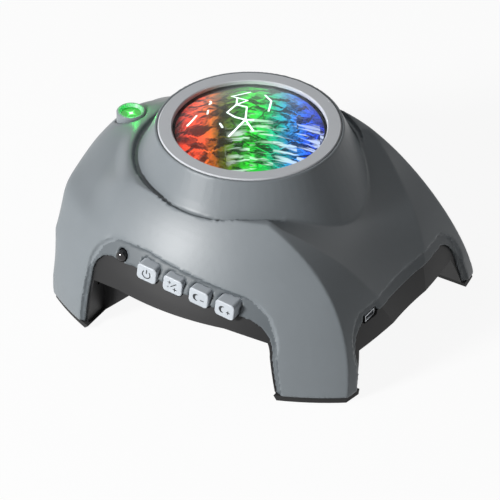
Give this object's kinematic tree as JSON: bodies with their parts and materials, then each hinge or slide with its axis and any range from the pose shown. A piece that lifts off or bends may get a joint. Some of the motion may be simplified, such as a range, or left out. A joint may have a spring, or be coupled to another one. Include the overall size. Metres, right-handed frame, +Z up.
{
  "type": "star night light projector",
  "caption": "Four-legged night light projector with a domed turning ripple lens on a round crown, a laser emitter on one shoulder and a row of push keys.",
  "frame": {"origin": "on the floor, under the middle of the outline", "axes": "+Z up, +X to the right along the row of keys, -Y towards the side with the keys"},
  "size_m": [0.1734, 0.1524, 0.097],
  "materials": {
    "grey_housing": "satin",
    "black_casing": "satin",
    "pale_ring": "satin",
    "clear_cover": "polished",
    "ripple_plastic": "polished",
    "black_inner": "matt",
    "white_gear": "satin",
    "steel": "bright",
    "aluminium": "milled",
    "board_green": "lacquered",
    "lamp_yellow": "glossy",
    "laser_green_window": "polished",
    "brass": "turned",
    "key_silver": "satin",
    "switch_black": "matt",
    "receiver_black": "glossy",
    "rubber_black": "matt",
    "speaker_black": "matt",
    "chip_black": "matt"
  },
  "bodies": {
    "housing": {"upper_shell": "grey_housing", "lower_casing": "black_casing", "foot_pads": "rubber_black", "crown_ring": "pale_ring", "lens_cover": "clear_cover", "light_shroud": "black_inner", "ripple_motor": "steel", "optics_deck": "black_inner", "heat_sink": "aluminium", "lamp_board": "board_green", "lamps": "lamp_yellow", "condenser_lenses": "ripple_plastic", "laser_bezel": "grey_housing", "laser_window": "laser_green_window", "laser_module": "brass", "laser_bracket": "black_inner", "grating_motor": "steel", "key_board": "board_green", "key_switches": "switch_black", "receiver_window": "receiver_black", "receiver_chip": "chip_black", "inlet_board": "board_green", "power_inlet": "steel", "speaker": "speaker_black", "main_board": "board_green", "board_parts": "chip_black", "deck_screws": "steel", "board_screws": "steel", "bracket_screws": "steel", "inlet_screw": "steel", "casing_screws": "steel"},
    "ripple_rotor": {"ripple_gear": "white_gear", "ripple_lens": "ripple_plastic"},
    "ripple_drive": {"ripple_pinion": "white_gear"},
    "grating_rotor": {"grating_wheel": "ripple_plastic"},
    "grating_drive": {"grating_pinion": "white_gear"},
    "power_key_cap": {"power_key": "key_silver"},
    "mode_key_cap": {"mode_key": "key_silver"},
    "dimmer_key_cap": {"dimmer_key": "key_silver"},
    "brighter_key_cap": {"brighter_key": "key_silver"}
  },
  "joints": [
    {"name": "ripple_turn", "type": "hinge", "parent": "housing", "child": "ripple_rotor", "pos_m": [-0.0041, 0, 0.066], "axis": [0, 0, 1], "continuous": true},
    {"name": "ripple_pinion_turn", "type": "hinge", "parent": "housing", "child": "ripple_drive", "pos_m": [-0.03539, 0.02817, 0.066], "axis": [0, 0, 1], "continuous": true},
    {"name": "grating_turn", "type": "hinge", "parent": "housing", "child": "grating_rotor", "pos_m": [-0.0646, 0, 0.0615], "axis": [0, 0, 1], "continuous": true},
    {"name": "grating_pinion_turn", "type": "hinge", "parent": "housing", "child": "grating_drive", "pos_m": [-0.0646, -0.01158, 0.0615], "axis": [0, 0, 1], "continuous": true},
    {"name": "power_key_press", "type": "slide", "parent": "housing", "child": "power_key_cap", "axis": [0, 1, 0], "range_m": [0, 0.0008], "stiffness_N_per_m": 900},
    {"name": "mode_key_press", "type": "slide", "parent": "housing", "child": "mode_key_cap", "axis": [0, 1, 0], "range_m": [0, 0.0008], "stiffness_N_per_m": 900},
    {"name": "dimmer_key_press", "type": "slide", "parent": "housing", "child": "dimmer_key_cap", "axis": [0, 1, 0], "range_m": [0, 0.0008], "stiffness_N_per_m": 900},
    {"name": "brighter_key_press", "type": "slide", "parent": "housing", "child": "brighter_key_cap", "axis": [0, 1, 0], "range_m": [0, 0.0008], "stiffness_N_per_m": 900}
  ],
  "couplings": [
    {"joint": "ripple_pinion_turn", "follows": "ripple_turn", "ratio": -5},
    {"joint": "grating_pinion_turn", "follows": "grating_turn", "ratio": -2.2857}
  ]
}
